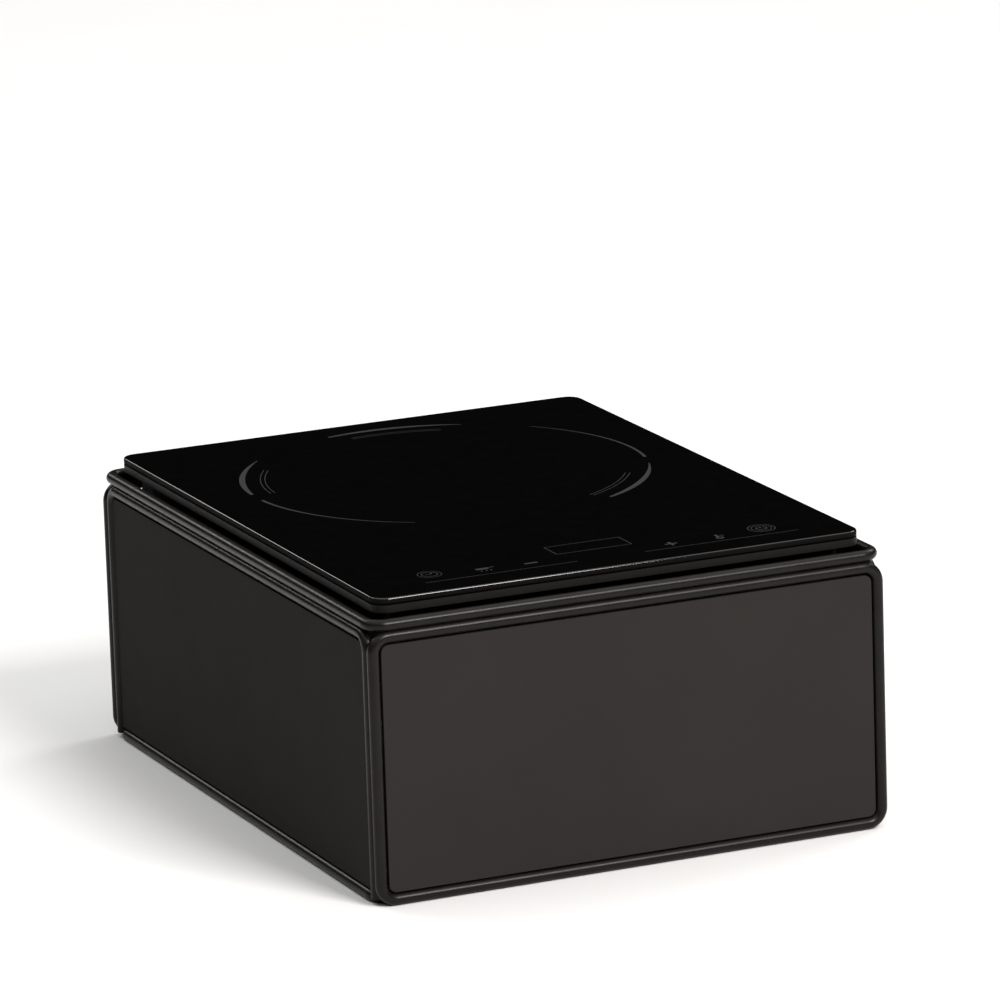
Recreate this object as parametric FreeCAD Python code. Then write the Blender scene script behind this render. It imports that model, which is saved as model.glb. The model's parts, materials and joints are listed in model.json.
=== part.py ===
import FreeCAD, Part
import math
import os

# Countertop induction unit dropped into a welded wire housing with inset panels.
# Millimetres, +Z up. Origin: centre of the footprint, on the surface the housing stands on.
# The control side faces -Y, so +X is the right-hand side seen from the controls.

V = FreeCAD.Vector
X_AXIS = V(1, 0, 0)
Y_AXIS = V(0, 1, 0)
Z_AXIS = V(0, 0, 1)

# ------------------------------------------------------------------ housing: driving sizes
housing_w = 305.0          # outside width of the wire frame
housing_d = 395.0          # outside depth of the wire frame
loop_h = 151.4             # outside height of the upright loops
wire_d = 6.5               # quarter-inch wire with its powder coat
wire_bend = 8.5            # bend radius of every wire, on its centre line
panel_t = 3.0              # thickness of the inset panels
panel_gap = 1.0            # gap all round a panel, inside its wires
rail_w = 30.0              # width of the flat support rails
rail_t = 3.0               # thickness of the flat support rails
rail_bend = 4.0            # outside bend radius of a rail
tab_w = 14.0               # height of a panel tab
tab_l = 22.0               # reach of a panel tab from the wire centre
tab_t = 1.5                # thickness of a panel tab
tab_inset = 26.0           # panel tab centre above or below the end of a panel
tab_screw_in = 14.0        # panel screw centre, inwards from the wire centre
panel_screw_d = 3.0
panel_screw_depth = 2.2    # blind depth in the panel
vent_slot_w = 5.0          # rear panel ventilation slots
vent_slot_h = 46.0
vent_slot_pitch = 12.0
vent_slot_rows = 15
vent_slot_level = 0.456    # middle of the slots, as a share of the panel's height
cord_hole_r = 12.0         # hole for a cord in the rear panel, in line with the gland
weld_r = 1.6               # radius of a weld bead
weld_l = 12.0              # length of a weld bead
weld_share_x = 0.3         # beads across the housing, as a share of its width
weld_share_y = 0.2         # beads along the sides, as a share of its depth
weld_levels = (0.3, 0.7)   # beads up the corners, as shares of the loops' height

# ------------------------------------------------------------------ induction unit: driving sizes
unit_h = 66.0              # rubber feet to the top of the glass
glass_rise = 9.4           # top of the glass above the top ring
glass_gap_side = 2.0       # glass to the inside of the top ring, left and right
glass_gap_end = 3.0        # and at the front and rear
glass_w = housing_w - 2 * (wire_d + glass_gap_side)
glass_d = housing_d - 2 * (wire_d + glass_gap_end)
glass_t = 3.5
glass_r = 9.0              # corner radius of the glass, in plan
glass_chamfer = 0.6
seal_t = 0.5               # adhesive bead under the glass
seal_inset = 2.0
seal_w = 11.0
flange_h = 4.1             # visible band of the top frame
flange_w = 16.0            # width of the top frame's flange
case_inset = 8.0           # lower case, inwards from the edge of the glass
case_r = 7.0
case_wall = 2.0
case_floor = 2.2
skirt_h = 9.2              # skirt of the top frame, below its flange
vent_count = 14            # slots in each of the case's three vents
vent_pitch = 7.0
vent_w = 3.4
vent_h = 26.0
vent_lift = 8.0            # foot of the slots above the case floor
rear_vent_shift = 40.0     # middle of the rear vents, to the right of the fan
grille_count = 13          # slots under the fan
grille_pitch = 6.6
grille_w = 3.8
boss_r = 4.5
boss_in = 3.5              # corner boss centre, inwards from the inside of the wall
case_screw_d = 3.0
case_screw_clear = 0.2     # radial clearance of a screw in the lower case
case_screw_bite = 10.0     # depth of a case screw in the top frame
screw_head_r = 3.0
screw_head_h = 2.0
screw_slot = 0.8           # width and depth of a screw's slot
post_bite = 4.0            # depth of a screw in a low post
tall_post_bite = 8.0       # depth of a screw in a tall post
foot_r = 10.0
foot_h = 5.0
foot_x = 112.0
foot_y = 130.0

# cooking zone and coil
zone_y = 53.0              # centre of the cooking zone, behind the middle of the glass
coil_r = 86.0
coil_hole_r = 24.0
coil_t = 6.0
coil_grooves = 14
coil_groove_depth = 0.8
coil_groove_w = 1.0
insulation_t = 2.0
insulation_r = coil_r + 4.0
insulation_gap = 0.3       # insulation disc to the underside of the glass
carrier_r = coil_r + 6.0
carrier_t = 4.0
ferrite_count = 8
ferrite_l = coil_r - coil_hole_r - 10.0
ferrite_w = 12.0
ferrite_t = 5.0
coil_post_r = 4.0
coil_post_ring = coil_r + 11.0  # distance of the coil posts from the zone centre
coil_spring_r = 3.2
coil_spring_wire = 1.0
coil_spring_h = 12.0
coil_spring_turns = 5
thermistor_r = 5.0
thermistor_h = 4.0
thermistor_spring_in = 1.2  # turns of its spring, inwards from the rim of the cap
thermistor_spring_wire = 0.8
thermistor_spring_turns = 3

# fan
fan_x = -78.0
fan_y = 70.0
fan_size = 92.0
fan_h = 25.4
fan_bore_r = 44.0
fan_tip_gap = 1.5
fan_hub_r = 18.0
fan_blades = 7
fan_blade_t = 1.8
fan_blade_pitch = 38.0     # degrees from upright
fan_shaft_r = 1.5
fan_shaft_gap = 0.05       # radial running fit
fan_mount_h = 3.0
fan_strut_w = 4.0
fan_end_gap = 0.8          # rotor above its motor seat
fan_hub_bite = 3.0         # root of a blade inside the hub
fan_post_h = 2.0
fan_hole_pitch = 82.5
fan_hole_r = 2.2
fan_screw_r = 2.0
duct_h = 9.0
duct_wall = 1.5

# main board
board_x = 35.0
board_y = -70.0
board_w = 190.0
board_d = 114.0
board_t = 1.6
board_post_h = 5.0
board_post_r = 3.5
board_post_in = 5.0
sink_x = -13.0
sink_y = -48.0
sink_w = 70.0
sink_d = 58.0
sink_base = 5.0
sink_fin_h = 15.0
sink_fins = 11
sink_fin_t = 1.6
sink_foot_w = 4.0
power_device_w = 16.0
power_device_d = 21.0
power_device_h = 5.0
power_device_offset = 18.0
leg_w = 1.2
leg_pitch = 5.4
film_cap_x = 82.0          # two large film capacitors, side by side
film_cap_ys = (-42.0, -64.0)
film_cap_w = 34.0
film_cap_d = 16.0
film_cap_h = 24.0
small_cap_x = 60.0
small_cap_y = -108.0
small_cap_w = 27.0
small_cap_d = 11.0
small_cap_h = 20.0
choke_x = 100.0
choke_y = -98.0
choke_r = 10.0
choke_wire_r = 5.5
transformer_x = 22.0
transformer_y = -108.0
transformer_w = 22.0
transformer_d = 20.0
transformer_h = 15.0
can_y = -99.0
can_pitch = 16.0
can_first_x = -14.0
can_r = 5.0
can_h = 16.0
fuse_x = 118.0
fuse_y = -66.0
fuse_l = 20.0
fuse_r = 2.6
fuse_axis_up = 6.0
clip_w = 6.0
clip_l = 4.0
clip_h = 7.0

# control board
control_w = 236.0
control_d = 44.0
control_gap = 6.0          # control board to the inside of the front wall
control_y = -(glass_d / 2 - case_inset - case_wall - control_gap - control_d / 2)
control_drop = 6.0         # top of the control board below the glass
bracket_t = 2.0
bracket_post_x = 105.0
bracket_post_y = 18.0
bracket_post_r = 3.5
bracket_rim_x = 30.0       # tray left at each end of its window
bracket_rim_y = 10.0       # tray left in front of and behind its window
key_xs = (-98.0, -69.0, -41.0, 42.0, 71.0, 99.0)
key_y = control_y - 8.0
touch_spring_r = 5.0
touch_spring_wire = 0.8
touch_spring_turns = 4
display_w = 46.0
display_d = 18.0
display_h = 4.6
display_y = control_y + 9.0
digit_count = 4
digit_pitch = 10.5
digit_w = 7.5
digit_l = 13.0
digit_depth = 0.5

# cord entry
gland_x = 90.0
gland_z_up = 11.0          # gland centre above the case floor
gland_thread_r = 7.0
gland_bore_r = 4.2
gland_flange_r = 10.0
gland_flange_t = 3.0
gland_dome_l = 5.0
gland_nut_r = 11.0
gland_nut_t = 4.0
gland_thread_l = 12.0
terminal_y = 140.0

# ------------------------------------------------------------------ worked-out places
wire_r = wire_d / 2
wire_x = housing_w / 2 - wire_r            # centre of the side wires
loop_y = housing_d / 2 - wire_r            # centre plane of the front and rear loops
leg_y = loop_y - wire_d                    # centre of the side hoops' legs
low_z = wire_r
high_z = loop_h - wire_r
ring_z = loop_h + wire_r
ring_top = loop_h + wire_d
inner_bend = wire_bend - wire_r

glass_top_z = ring_top + glass_rise
glass_z = glass_top_z - glass_t
flange_top = glass_z - seal_t
flange_z = flange_top - flange_h
joint_z = flange_z - skirt_h               # where the lower case meets the top frame
foot_z = glass_top_z - unit_h
case_z = foot_z + foot_h
floor_z = case_z + case_floor
case_w = glass_w - 2 * case_inset
case_d = glass_d - 2 * case_inset
boss_x = case_w / 2 - case_wall - boss_in
boss_y = case_d / 2 - case_wall - boss_in

insulation_z = glass_z - insulation_gap - insulation_t
coil_z = insulation_z - coil_t
carrier_z = coil_z - carrier_t
ferrite_z = carrier_z - ferrite_t
post_top = carrier_z - coil_spring_h

fan_z = floor_z + fan_post_h
fan_top = fan_z + fan_h
board_z = floor_z + board_post_h
board_top = board_z + board_t
sink_z = board_top + power_device_h
control_top = glass_z - control_drop
control_z = control_top - board_t
bracket_z = control_z - bracket_t
gland_z = floor_z + gland_z_up
rear_wall_y = case_d / 2


# ------------------------------------------------------------------ shape helpers
def block(cx, cy, z, wx, wy, h):
    """A box centred on cx, cy with its foot at z."""
    return Part.makeBox(wx, wy, h, V(cx - wx / 2, cy - wy / 2, z))


def rod(cx, cy, z, r, h):
    """An upright cylinder with its foot at z."""
    return Part.makeCylinder(r, h, V(cx, cy, z), Z_AXIS)


def pipe(cx, cy, z, outer_r, inner_r, h):
    """An upright tube with its foot at z."""
    return rod(cx, cy, z, outer_r, h).cut(rod(cx, cy, z, inner_r, h))


def edges_along(shape, axis):
    """The straight edges of a shape that run along an axis."""
    found = []
    for edge in shape.Edges:
        if not isinstance(edge.Curve, Part.Line):
            continue
        if abs(abs(edge.tangentAt(edge.FirstParameter).dot(axis)) - 1) < 1e-6:
            found.append(edge)
    return found


def rounded(shape, radius, axis):
    """The shape with its edges along an axis filleted."""
    return shape.makeFillet(radius, edges_along(shape, axis))


def plate(cx, cy, z, wx, wy, h, r):
    """A flat plate with rounded corners in plan."""
    return rounded(block(cx, cy, z, wx, wy, h), r, Z_AXIS)


def frame_ring(z, wx, wy, h, r, width):
    """A rectangular ring with rounded corners; width is the width of its band."""
    outer = plate(0, 0, z, wx, wy, h, r)
    inner_r = max(r - width, 1.0)
    return outer.cut(plate(0, 0, z, wx - 2 * width, wy - 2 * width, h, inner_r))


def joined(shapes):
    """One solid from overlapping or touching shapes."""
    return shapes[0].multiFuse(shapes[1:]).removeSplitter()


def group(shapes):
    """Separate solids kept together in one node."""
    return Part.makeCompound(shapes)


def bent_wire(points, r, bend, closed=False):
    """Round wire through the points, with every corner bent to a radius."""
    count = len(points)
    corners = range(count) if closed else range(1, count - 1)
    trims = {}
    pieces = []
    for i in corners:
        here = points[i]
        back = (points[i - 1] - here).normalize()
        ahead = (points[(i + 1) % count] - here).normalize()
        turn = math.pi - back.getAngle(ahead)
        trim = bend * math.tan(turn / 2)
        trims[i] = trim
        start = here + back * trim
        heading = back * -1
        inwards = (ahead - heading * ahead.dot(heading)).normalize()
        centre = start + inwards * bend
        disc = Part.Face(Part.Wire(Part.makeCircle(r, start, heading)))
        pieces.append(disc.revolve(centre, heading.cross(inwards), math.degrees(turn)))
    runs = range(count) if closed else range(count - 1)
    for i in runs:
        start = points[i]
        end = points[(i + 1) % count]
        along = (end - start).normalize()
        start_trim = trims.get(i, 0.0)
        end_trim = trims.get((i + 1) % count, 0.0)
        length = (end - start).Length - start_trim - end_trim
        pieces.append(Part.makeCylinder(r, length, start + along * start_trim, along))
    return joined(pieces)


def ring_spring(cx, cy, z, coil_radius, wire_radius, height, turns):
    """A compression spring standing on z, its turns shown as closed rings held by two ties."""
    rings = []
    for i in range(turns):
        level = z + wire_radius + (height - 2 * wire_radius) * i / (turns - 1)
        rings.append(Part.makeTorus(coil_radius, wire_radius, V(cx, cy, level), Z_AXIS))
    for side in (-1, 1):
        tie_z = z + wire_radius
        rings.append(rod(cx + side * coil_radius, cy, tie_z, wire_radius * 0.6, height - 2 * wire_radius))
    return joined(rings)


def pan_screw_up(x, y, head_z, length, r):
    """A screw driven upwards, with its head below head_z."""
    head = rod(x, y, head_z - screw_head_h, screw_head_r, screw_head_h)
    slot = block(x, y, head_z - screw_head_h, 2 * screw_head_r, screw_slot, screw_slot)
    return joined([head.cut(slot), rod(x, y, head_z, r, length)])


def pan_screw_down(x, y, seat_z, length, r):
    """A screw driven downwards, with its head on seat_z."""
    head = rod(x, y, seat_z, screw_head_r, screw_head_h)
    slot = block(x, y, seat_z + screw_head_h - screw_slot, 2 * screw_head_r, screw_slot, screw_slot)
    return joined([head.cut(slot), rod(x, y, seat_z - length, r, length)])


# ------------------------------------------------------------------ housing: wires
def upright_loop(y):
    """A closed wire loop standing in the XZ plane."""
    corners = [V(-wire_x, y, low_z), V(wire_x, y, low_z), V(wire_x, y, high_z), V(-wire_x, y, high_z)]
    return bent_wire(corners, wire_r, wire_bend, closed=True)


def flat_ring(y, z):
    """A closed wire ring lying flat."""
    corners = [V(-wire_x, -y, z), V(wire_x, -y, z), V(wire_x, y, z), V(-wire_x, y, z)]
    return bent_wire(corners, wire_r, wire_bend, closed=True)


def side_hoop(side):
    """A wire bent to an upside-down U, its feet coped to the bottom ring."""
    x = side * wire_x
    points = [V(x, -leg_y, low_z), V(x, -leg_y, high_z), V(x, leg_y, high_z), V(x, leg_y, low_z)]
    return bent_wire(points, wire_r, wire_bend).cut(bottom_ring)


# ------------------------------------------------------------------ housing: panels
end_panel_w = housing_w - 2 * wire_d - 2 * panel_gap
end_panel_h = loop_h - 2 * wire_d - 2 * panel_gap
side_panel_w = 2 * (leg_y - wire_r - panel_gap)
panel_foot = wire_d + panel_gap
panel_head = loop_h - wire_d - panel_gap
tab_levels = (panel_foot + tab_inset, panel_head - tab_inset)
tab_face = panel_t / 2                     # tab against the back of the panel


def end_panel(side):
    """A panel inset in the front or rear loop, with blind screw holes at the back."""
    y = side * loop_y
    panel = rounded(
        block(0, y, panel_foot, end_panel_w, panel_t, end_panel_h), inner_bend - panel_gap, Y_AXIS
    )
    inside = y - side * tab_face
    for x in (-wire_x + tab_screw_in, wire_x - tab_screw_in):
        for z in tab_levels:
            hole = Part.makeCylinder(panel_screw_d / 2, panel_screw_depth, V(x, inside, z), Y_AXIS * side)
            panel = panel.cut(hole)
    return panel


def vented(panel):
    """The rear panel with its ventilation slots and cord hole."""
    middle = panel_foot + vent_slot_level * end_panel_h
    for i in range(vent_slot_rows):
        x = (i - (vent_slot_rows - 1) / 2) * vent_slot_pitch
        slot = block(x, loop_y, middle - vent_slot_h / 2, vent_slot_w, 2 * panel_t, vent_slot_h)
        panel = panel.cut(rounded(slot, vent_slot_w / 2 - 0.05, Y_AXIS))
    start = V(gland_x, loop_y - panel_t, gland_z)
    return panel.cut(Part.makeCylinder(cord_hole_r, 2 * panel_t, start, Y_AXIS))


def side_panel(side):
    """A panel inset between the legs of a side hoop."""
    x = side * wire_x
    panel = block(x, 0, panel_foot, panel_t, side_panel_w, end_panel_h)
    top_edges = []
    for edge in edges_along(panel, X_AXIS):
        if edge.CenterOfMass.z > panel_foot + 1:
            top_edges.append(edge)
    panel = panel.makeFillet(inner_bend - panel_gap, top_edges)
    inside = x - side * tab_face
    for y in (-leg_y + tab_screw_in, leg_y - tab_screw_in):
        for z in tab_levels:
            hole = Part.makeCylinder(panel_screw_d / 2, panel_screw_depth, V(inside, y, z), X_AXIS * side)
            panel = panel.cut(hole)
    return panel


def panel_fixing_places():
    """For every tab: the wire centre, the way in from the wire, the way out through the panel."""
    places = []
    for z in tab_levels:
        for side in (-1, 1):
            for across in (-1, 1):
                places.append((V(across * wire_x, side * loop_y, z), X_AXIS * -across, Y_AXIS * side))
                places.append((V(side * wire_x, across * leg_y, z), Y_AXIS * -across, X_AXIS * side))
    return places


def oriented_block(start, along, up_len, length, outwards, near, far):
    """A block from start along a direction; near and far are its depths against outwards."""
    corner_a = start - Z_AXIS * (up_len / 2) - outwards * far
    corner_b = start + Z_AXIS * (up_len / 2) - outwards * near + along * length
    low = V(min(corner_a.x, corner_b.x), min(corner_a.y, corner_b.y), min(corner_a.z, corner_b.z))
    high = V(max(corner_a.x, corner_b.x), max(corner_a.y, corner_b.y), max(corner_a.z, corner_b.z))
    size = high - low
    return Part.makeBox(size.x, size.y, size.z, low)


def panel_tabs():
    """Small steel tabs welded behind the wires, one behind each corner of each panel."""
    tabs = []
    for wire_centre, inwards, outwards in panel_fixing_places():
        tab = oriented_block(wire_centre, inwards, tab_w, tab_l, outwards, tab_face, tab_face + tab_t)
        tab = tab.cut(Part.makeCylinder(wire_r, 2 * tab_w, wire_centre - Z_AXIS * tab_w, Z_AXIS))
        centre = wire_centre + inwards * tab_screw_in
        start = centre - outwards * (3 * tab_t)
        tab = tab.cut(Part.makeCylinder(panel_screw_d / 2, 3 * tab_t, start, outwards))
        tabs.append(tab)
    return group(tabs)


def panel_screws():
    """The screws that hold the panels to their tabs, heads inside the housing."""
    screws = []
    for wire_centre, inwards, outwards in panel_fixing_places():
        seat = wire_centre + inwards * tab_screw_in - outwards * (tab_face + tab_t)
        shank = Part.makeCylinder(panel_screw_d / 2, tab_t + panel_screw_depth, seat, outwards)
        head = Part.makeCylinder(screw_head_r, screw_head_h, seat - outwards * screw_head_h, outwards)
        screws.append(joined([head, shank]))
    return group(screws)


# ------------------------------------------------------------------ housing: rails and welds
rail_x = wire_x - wire_r                   # outside of a rail's upright end
rail_top_z = high_z + wire_r / 2


def support_rail(y):
    """A flat steel bar bent to a U; the feet of the induction unit stand on it."""
    outer = block(0, y, foot_z - rail_t, 2 * rail_x, rail_w, rail_top_z - foot_z + rail_t)
    low_edges = []
    for edge in edges_along(outer, Y_AXIS):
        if edge.CenterOfMass.z < foot_z:
            low_edges.append(edge)
    outer = outer.makeFillet(rail_bend, low_edges)
    inner = block(0, y, foot_z, 2 * (rail_x - rail_t), rail_w, rail_top_z - foot_z)
    low_edges = []
    for edge in edges_along(inner, Y_AXIS):
        if edge.CenterOfMass.z < foot_z + 1:
            low_edges.append(edge)
    inner = inner.makeFillet(rail_bend - rail_t, low_edges)
    return outer.cut(inner)


def weld_bead(middle, along, cutters):
    """A short weld bead along a groove, fitted to the pieces that it joins."""
    bead = Part.makeCylinder(weld_r, weld_l, middle - along * (weld_l / 2), along)
    for cutter in cutters:
        bead = bead.cut(cutter)
    return max(bead.Solids, key=lambda solid: solid.Volume)


def frame_welds():
    """Beads on the inside of the frame, where the wires and rails meet."""
    beads = []
    groove = wire_r * 0.62
    loops = {-1: front_loop, 1: rear_loop}
    hoops = {-1: left_hoop, 1: right_hoop}
    for side in (-1, 1):
        for across in (-1, 1):
            x = across * housing_w * weld_share_x
            top = V(x, side * (loop_y - groove), loop_h)
            beads.append(weld_bead(top, X_AXIS, [top_ring, loops[side]]))
            foot = V(x, side * (loop_y - wire_r), low_z + groove)
            beads.append(weld_bead(foot, X_AXIS, [bottom_ring, loops[side]]))
            y = across * housing_d * weld_share_y
            beads.append(weld_bead(V(side * (wire_x - groove), y, loop_h), Y_AXIS, [top_ring, hoops[side]]))
            for level in weld_levels:
                corner = V(across * (wire_x - groove), side * (loop_y - wire_r), loop_h * level)
                beads.append(weld_bead(corner, Z_AXIS, [loops[side], hoops[across], tabs_shape]))
            rail_end = V(side * (rail_x - 0.4), across * foot_y, rail_top_z + 0.6)
            beads.append(weld_bead(rail_end, Y_AXIS, [hoops[side], rails[across], top_ring]))
    return group(beads)


# ------------------------------------------------------------------ induction unit: casing
def corner_bosses():
    """Centres of the bosses that take the case screws."""
    return [(x, y) for x in (-boss_x, boss_x) for y in (-boss_y, 0.0, boss_y)]


def glass_top():
    """The glass plate, with polished bevels round its upper edge."""
    glass = plate(0, 0, glass_z, glass_w, glass_d, glass_t, glass_r)
    upper = [edge for edge in glass.Edges if edge.BoundBox.ZMin > glass_top_z - 0.01]
    return glass.makeChamfer(glass_chamfer, upper)


def glass_seal():
    """The adhesive bead between the glass and the top frame."""
    w = glass_w - 2 * seal_inset
    d = glass_d - 2 * seal_inset
    return frame_ring(flange_top, w, d, seal_t, glass_r - seal_inset, seal_w)


def top_frame():
    """The upper part of the casing: a flange under the glass and a skirt below it."""
    flange = frame_ring(flange_z, glass_w, glass_d, flange_h, glass_r, flange_w)
    skirt = frame_ring(joint_z, case_w, case_d, skirt_h, case_r, case_wall)
    pieces = [flange, skirt]
    for x, y in corner_bosses():
        pieces.append(rod(x, y, joint_z, boss_r, flange_top - joint_z))
    frame = joined(pieces)
    outline = plate(0, 0, joint_z, case_w, case_d, flange_top - joint_z, case_r)
    frame = frame.common(joined([outline, flange]))
    for x, y in corner_bosses():
        frame = frame.cut(rod(x, y, joint_z, case_screw_d / 2, case_screw_bite))
    return frame


def slot_row(count, pitch, make_slot):
    """Cutters in a row, centred on zero; make_slot takes each one's offset."""
    return [make_slot((i - (count - 1) / 2) * pitch) for i in range(count)]


def fan_grille():
    """Parallel slots within a circle, under the fan."""
    reach = fan_bore_r - 1.0
    slots = slot_row(
        grille_count, grille_pitch,
        lambda dx: block(fan_x + dx, fan_y, case_z, grille_w, 2 * reach, case_floor),
    )
    return joined(slots).common(rod(fan_x, fan_y, case_z, reach, case_floor))


def coil_posts():
    """Centres of the three posts that carry the coil."""
    places = []
    for degrees in (90, 210, 330):
        angle = math.radians(degrees)
        places.append((coil_post_ring * math.cos(angle), zone_y + coil_post_ring * math.sin(angle)))
    return places


def board_posts():
    """Centres of the main board's four posts."""
    dx = board_w / 2 - board_post_in
    dy = board_d / 2 - board_post_in
    return [(board_x + sx * dx, board_y + sy * dy) for sx in (-1, 1) for sy in (-1, 1)]


def fan_holes():
    """Centres of the fan's four screws."""
    half = fan_hole_pitch / 2
    return [(fan_x + sx * half, fan_y + sy * half) for sx in (-1, 1) for sy in (-1, 1)]


def lower_case():
    """The tub under the top frame, with its grille, vents, posts and bosses."""
    height = joint_z - case_z
    tub = plate(0, 0, case_z, case_w, case_d, height, case_r)
    hollow_w = case_w - 2 * case_wall
    hollow_d = case_d - 2 * case_wall
    tub = tub.cut(plate(0, 0, floor_z, hollow_w, hollow_d, height, case_r - case_wall))
    stands = []
    for x, y in corner_bosses():
        stands.append(rod(x, y, floor_z, boss_r, joint_z - floor_z))
    for x, y in board_posts():
        stands.append(rod(x, y, floor_z, board_post_r, board_post_h))
    for x, y in fan_holes():
        stands.append(rod(x, y, floor_z, fan_hole_r + 2.0, fan_post_h))
    for x, y in coil_posts():
        stands.append(rod(x, y, floor_z, coil_post_r, post_top - floor_z))
    tub = joined([tub] + stands)
    tub = tub.common(plate(0, 0, case_z, case_w, case_d, height, case_r))
    cutters = [fan_grille()]
    vent_z = floor_z + vent_lift
    deep = 4 * case_wall
    cutters += slot_row(
        vent_count, vent_pitch,
        lambda dx: block(fan_x + rear_vent_shift + dx, rear_wall_y, vent_z, vent_w, deep, vent_h),
    )
    cutters += slot_row(
        vent_count, vent_pitch,
        lambda dy: block(-case_w / 2, fan_y + dy, vent_z, deep, vent_w, vent_h),
    )
    cutters += slot_row(
        vent_count, vent_pitch,
        lambda dy: block(case_w / 2, board_y + dy, vent_z, deep, vent_w, vent_h),
    )
    start = V(gland_x, rear_wall_y - 2 * case_wall, gland_z)
    gland_hole = Part.makeCylinder(gland_thread_r, deep, start, Y_AXIS)
    cutters.append(gland_hole)
    for x, y in corner_bosses():
        cutters.append(rod(x, y, case_z, case_screw_d / 2 + case_screw_clear, height))
        cutters.append(rod(x, y, case_z, screw_head_r + case_screw_clear, screw_head_h))
    for x, y in board_posts():
        cutters.append(rod(x, y, board_z - post_bite, case_screw_d / 2, post_bite))
    for x, y in fan_holes():
        cutters.append(rod(x, y, fan_z - post_bite, fan_screw_r, post_bite))
    for x, y in coil_posts():
        cutters.append(rod(x, y, post_top - tall_post_bite, case_screw_d / 2, tall_post_bite))
    for x, y in foot_places():
        cutters.append(rod(x, y, case_z, case_screw_d / 2, case_floor))
    for cutter in cutters:
        tub = tub.cut(cutter)
    return tub


def case_screws():
    """Six screws from below, through the lower case into the top frame."""
    head_top = case_z + screw_head_h
    length = joint_z + case_screw_bite - head_top
    return group([pan_screw_up(x, y, head_top, length, case_screw_d / 2) for x, y in corner_bosses()])


def foot_places():
    """Centres of the four rubber feet."""
    return [(sx * foot_x, sy * foot_y) for sx in (-1, 1) for sy in (-1, 1)]


def rubber_feet():
    """Four round rubber feet, each with a stem that plugs into the case floor."""
    feet = []
    for x, y in foot_places():
        pad = rod(x, y, foot_z, foot_r, foot_h)
        pad = pad.makeFillet(1.0, [edge for edge in pad.Edges if edge.BoundBox.ZMax < foot_z + 0.01])
        feet.append(joined([pad, rod(x, y, case_z, case_screw_d / 2, case_floor)]))
    return group(feet)


# ------------------------------------------------------------------ induction unit: coil
def coil_winding():
    """The flat spiral of stranded wire, shown as a grooved ring."""
    winding = pipe(0, zone_y, coil_z, coil_r, coil_hole_r, coil_t)
    step = (coil_r - coil_hole_r) / (coil_grooves + 1)
    for i in range(coil_grooves):
        mid = coil_hole_r + step * (i + 1)
        groove_z = coil_z + coil_t - coil_groove_depth
        half = coil_groove_w / 2
        groove = pipe(0, zone_y, groove_z, mid + half, mid - half, coil_groove_depth)
        winding = winding.cut(groove)
    return winding


def coil_carrier():
    """The moulded disc under the winding, with three ears and a hub."""
    pieces = [rod(0, zone_y, carrier_z, carrier_r, carrier_t)]
    for x, y in coil_posts():
        pieces.append(rod(x, y, carrier_z, coil_spring_r + 4.4, carrier_t))
    disc = joined(pieces)
    for x, y in coil_posts():
        disc = disc.cut(rod(x, y, carrier_z, case_screw_d / 2 + case_screw_clear, carrier_t))
    return disc.cut(rod(0, zone_y, carrier_z, 1.2, carrier_t))


def ferrite_bars():
    """Ferrite bars glued under the carrier, pointing at its centre."""
    bars = []
    for i in range(ferrite_count):
        bar = block(coil_hole_r + 4.0 + ferrite_l / 2, 0, ferrite_z, ferrite_l, ferrite_w, ferrite_t)
        bar.rotate(V(0, 0, 0), Z_AXIS, 360.0 / ferrite_count * i)
        bar.translate(V(0, zone_y, 0))
        bars.append(bar)
    return group(bars)


def insulation_disc():
    """The mica and ceramic-fibre disc between the winding and the glass."""
    return pipe(0, zone_y, insulation_z, insulation_r, thermistor_r + 2.0, insulation_t)


def coil_springs():
    """Three springs that press the coil up towards the glass."""
    springs = []
    for x, y in coil_posts():
        springs.append(
            ring_spring(x, y, post_top, coil_spring_r, coil_spring_wire / 2, coil_spring_h, coil_spring_turns)
        )
    return group(springs)


def coil_screws():
    """The screws that guide the coil on its posts."""
    seat = carrier_z + carrier_t
    length = seat - post_top + tall_post_bite
    return group([pan_screw_down(x, y, seat, length, case_screw_d / 2) for x, y in coil_posts()])


def thermistor():
    """The temperature sensor in its silicone cap, pressed to the glass."""
    cap = rod(0, zone_y, glass_z - thermistor_h, thermistor_r, thermistor_h)
    foot = glass_z - thermistor_h
    return cap.makeFillet(0.8, [edge for edge in cap.Edges if edge.BoundBox.ZMax < foot + 0.01])


def thermistor_spring():
    """The spring under the temperature sensor."""
    turn_r = thermistor_r - thermistor_spring_in
    height = glass_z - thermistor_h - coil_z
    return ring_spring(
        0, zone_y, coil_z, turn_r, thermistor_spring_wire / 2, height, thermistor_spring_turns
    )


coil_lead_xs = (40.0, 52.0)
coil_lead_drop = 15.0      # from the front of the coil to where its leads turn down
coil_lead_y = zone_y - coil_r - coil_lead_drop
lead_r = 1.5
lead_bend = 6.0
thin_lead_r = 0.8
coil_terminal_w = 8.0
terminal_h = 4.0
thermistor_socket_y = -92.0


def coil_leads():
    """The two ends of the winding, brought down to the main board."""
    leads = []
    for x in coil_lead_xs:
        start = V(x, zone_y - math.sqrt(coil_r ** 2 - x ** 2), coil_z + coil_t / 2)
        points = [start, V(x, coil_lead_y, start.z), V(x, coil_lead_y, board_top + terminal_h)]
        lead = bent_wire(points, lead_r, lead_bend)
        leads.append(lead.cut(coil_shape))
    return group(leads)


def thermistor_lead():
    """The thin lead from the sensor to its connector."""
    level = sink_z + sink_base + sink_fin_h + 4 * thin_lead_r
    points = [V(0, zone_y, coil_z), V(0, zone_y, level), V(0, thermistor_socket_y, level)]
    points.append(V(0, thermistor_socket_y, board_top + terminal_h))
    return bent_wire(points, thin_lead_r, 5 * thin_lead_r)


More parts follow.
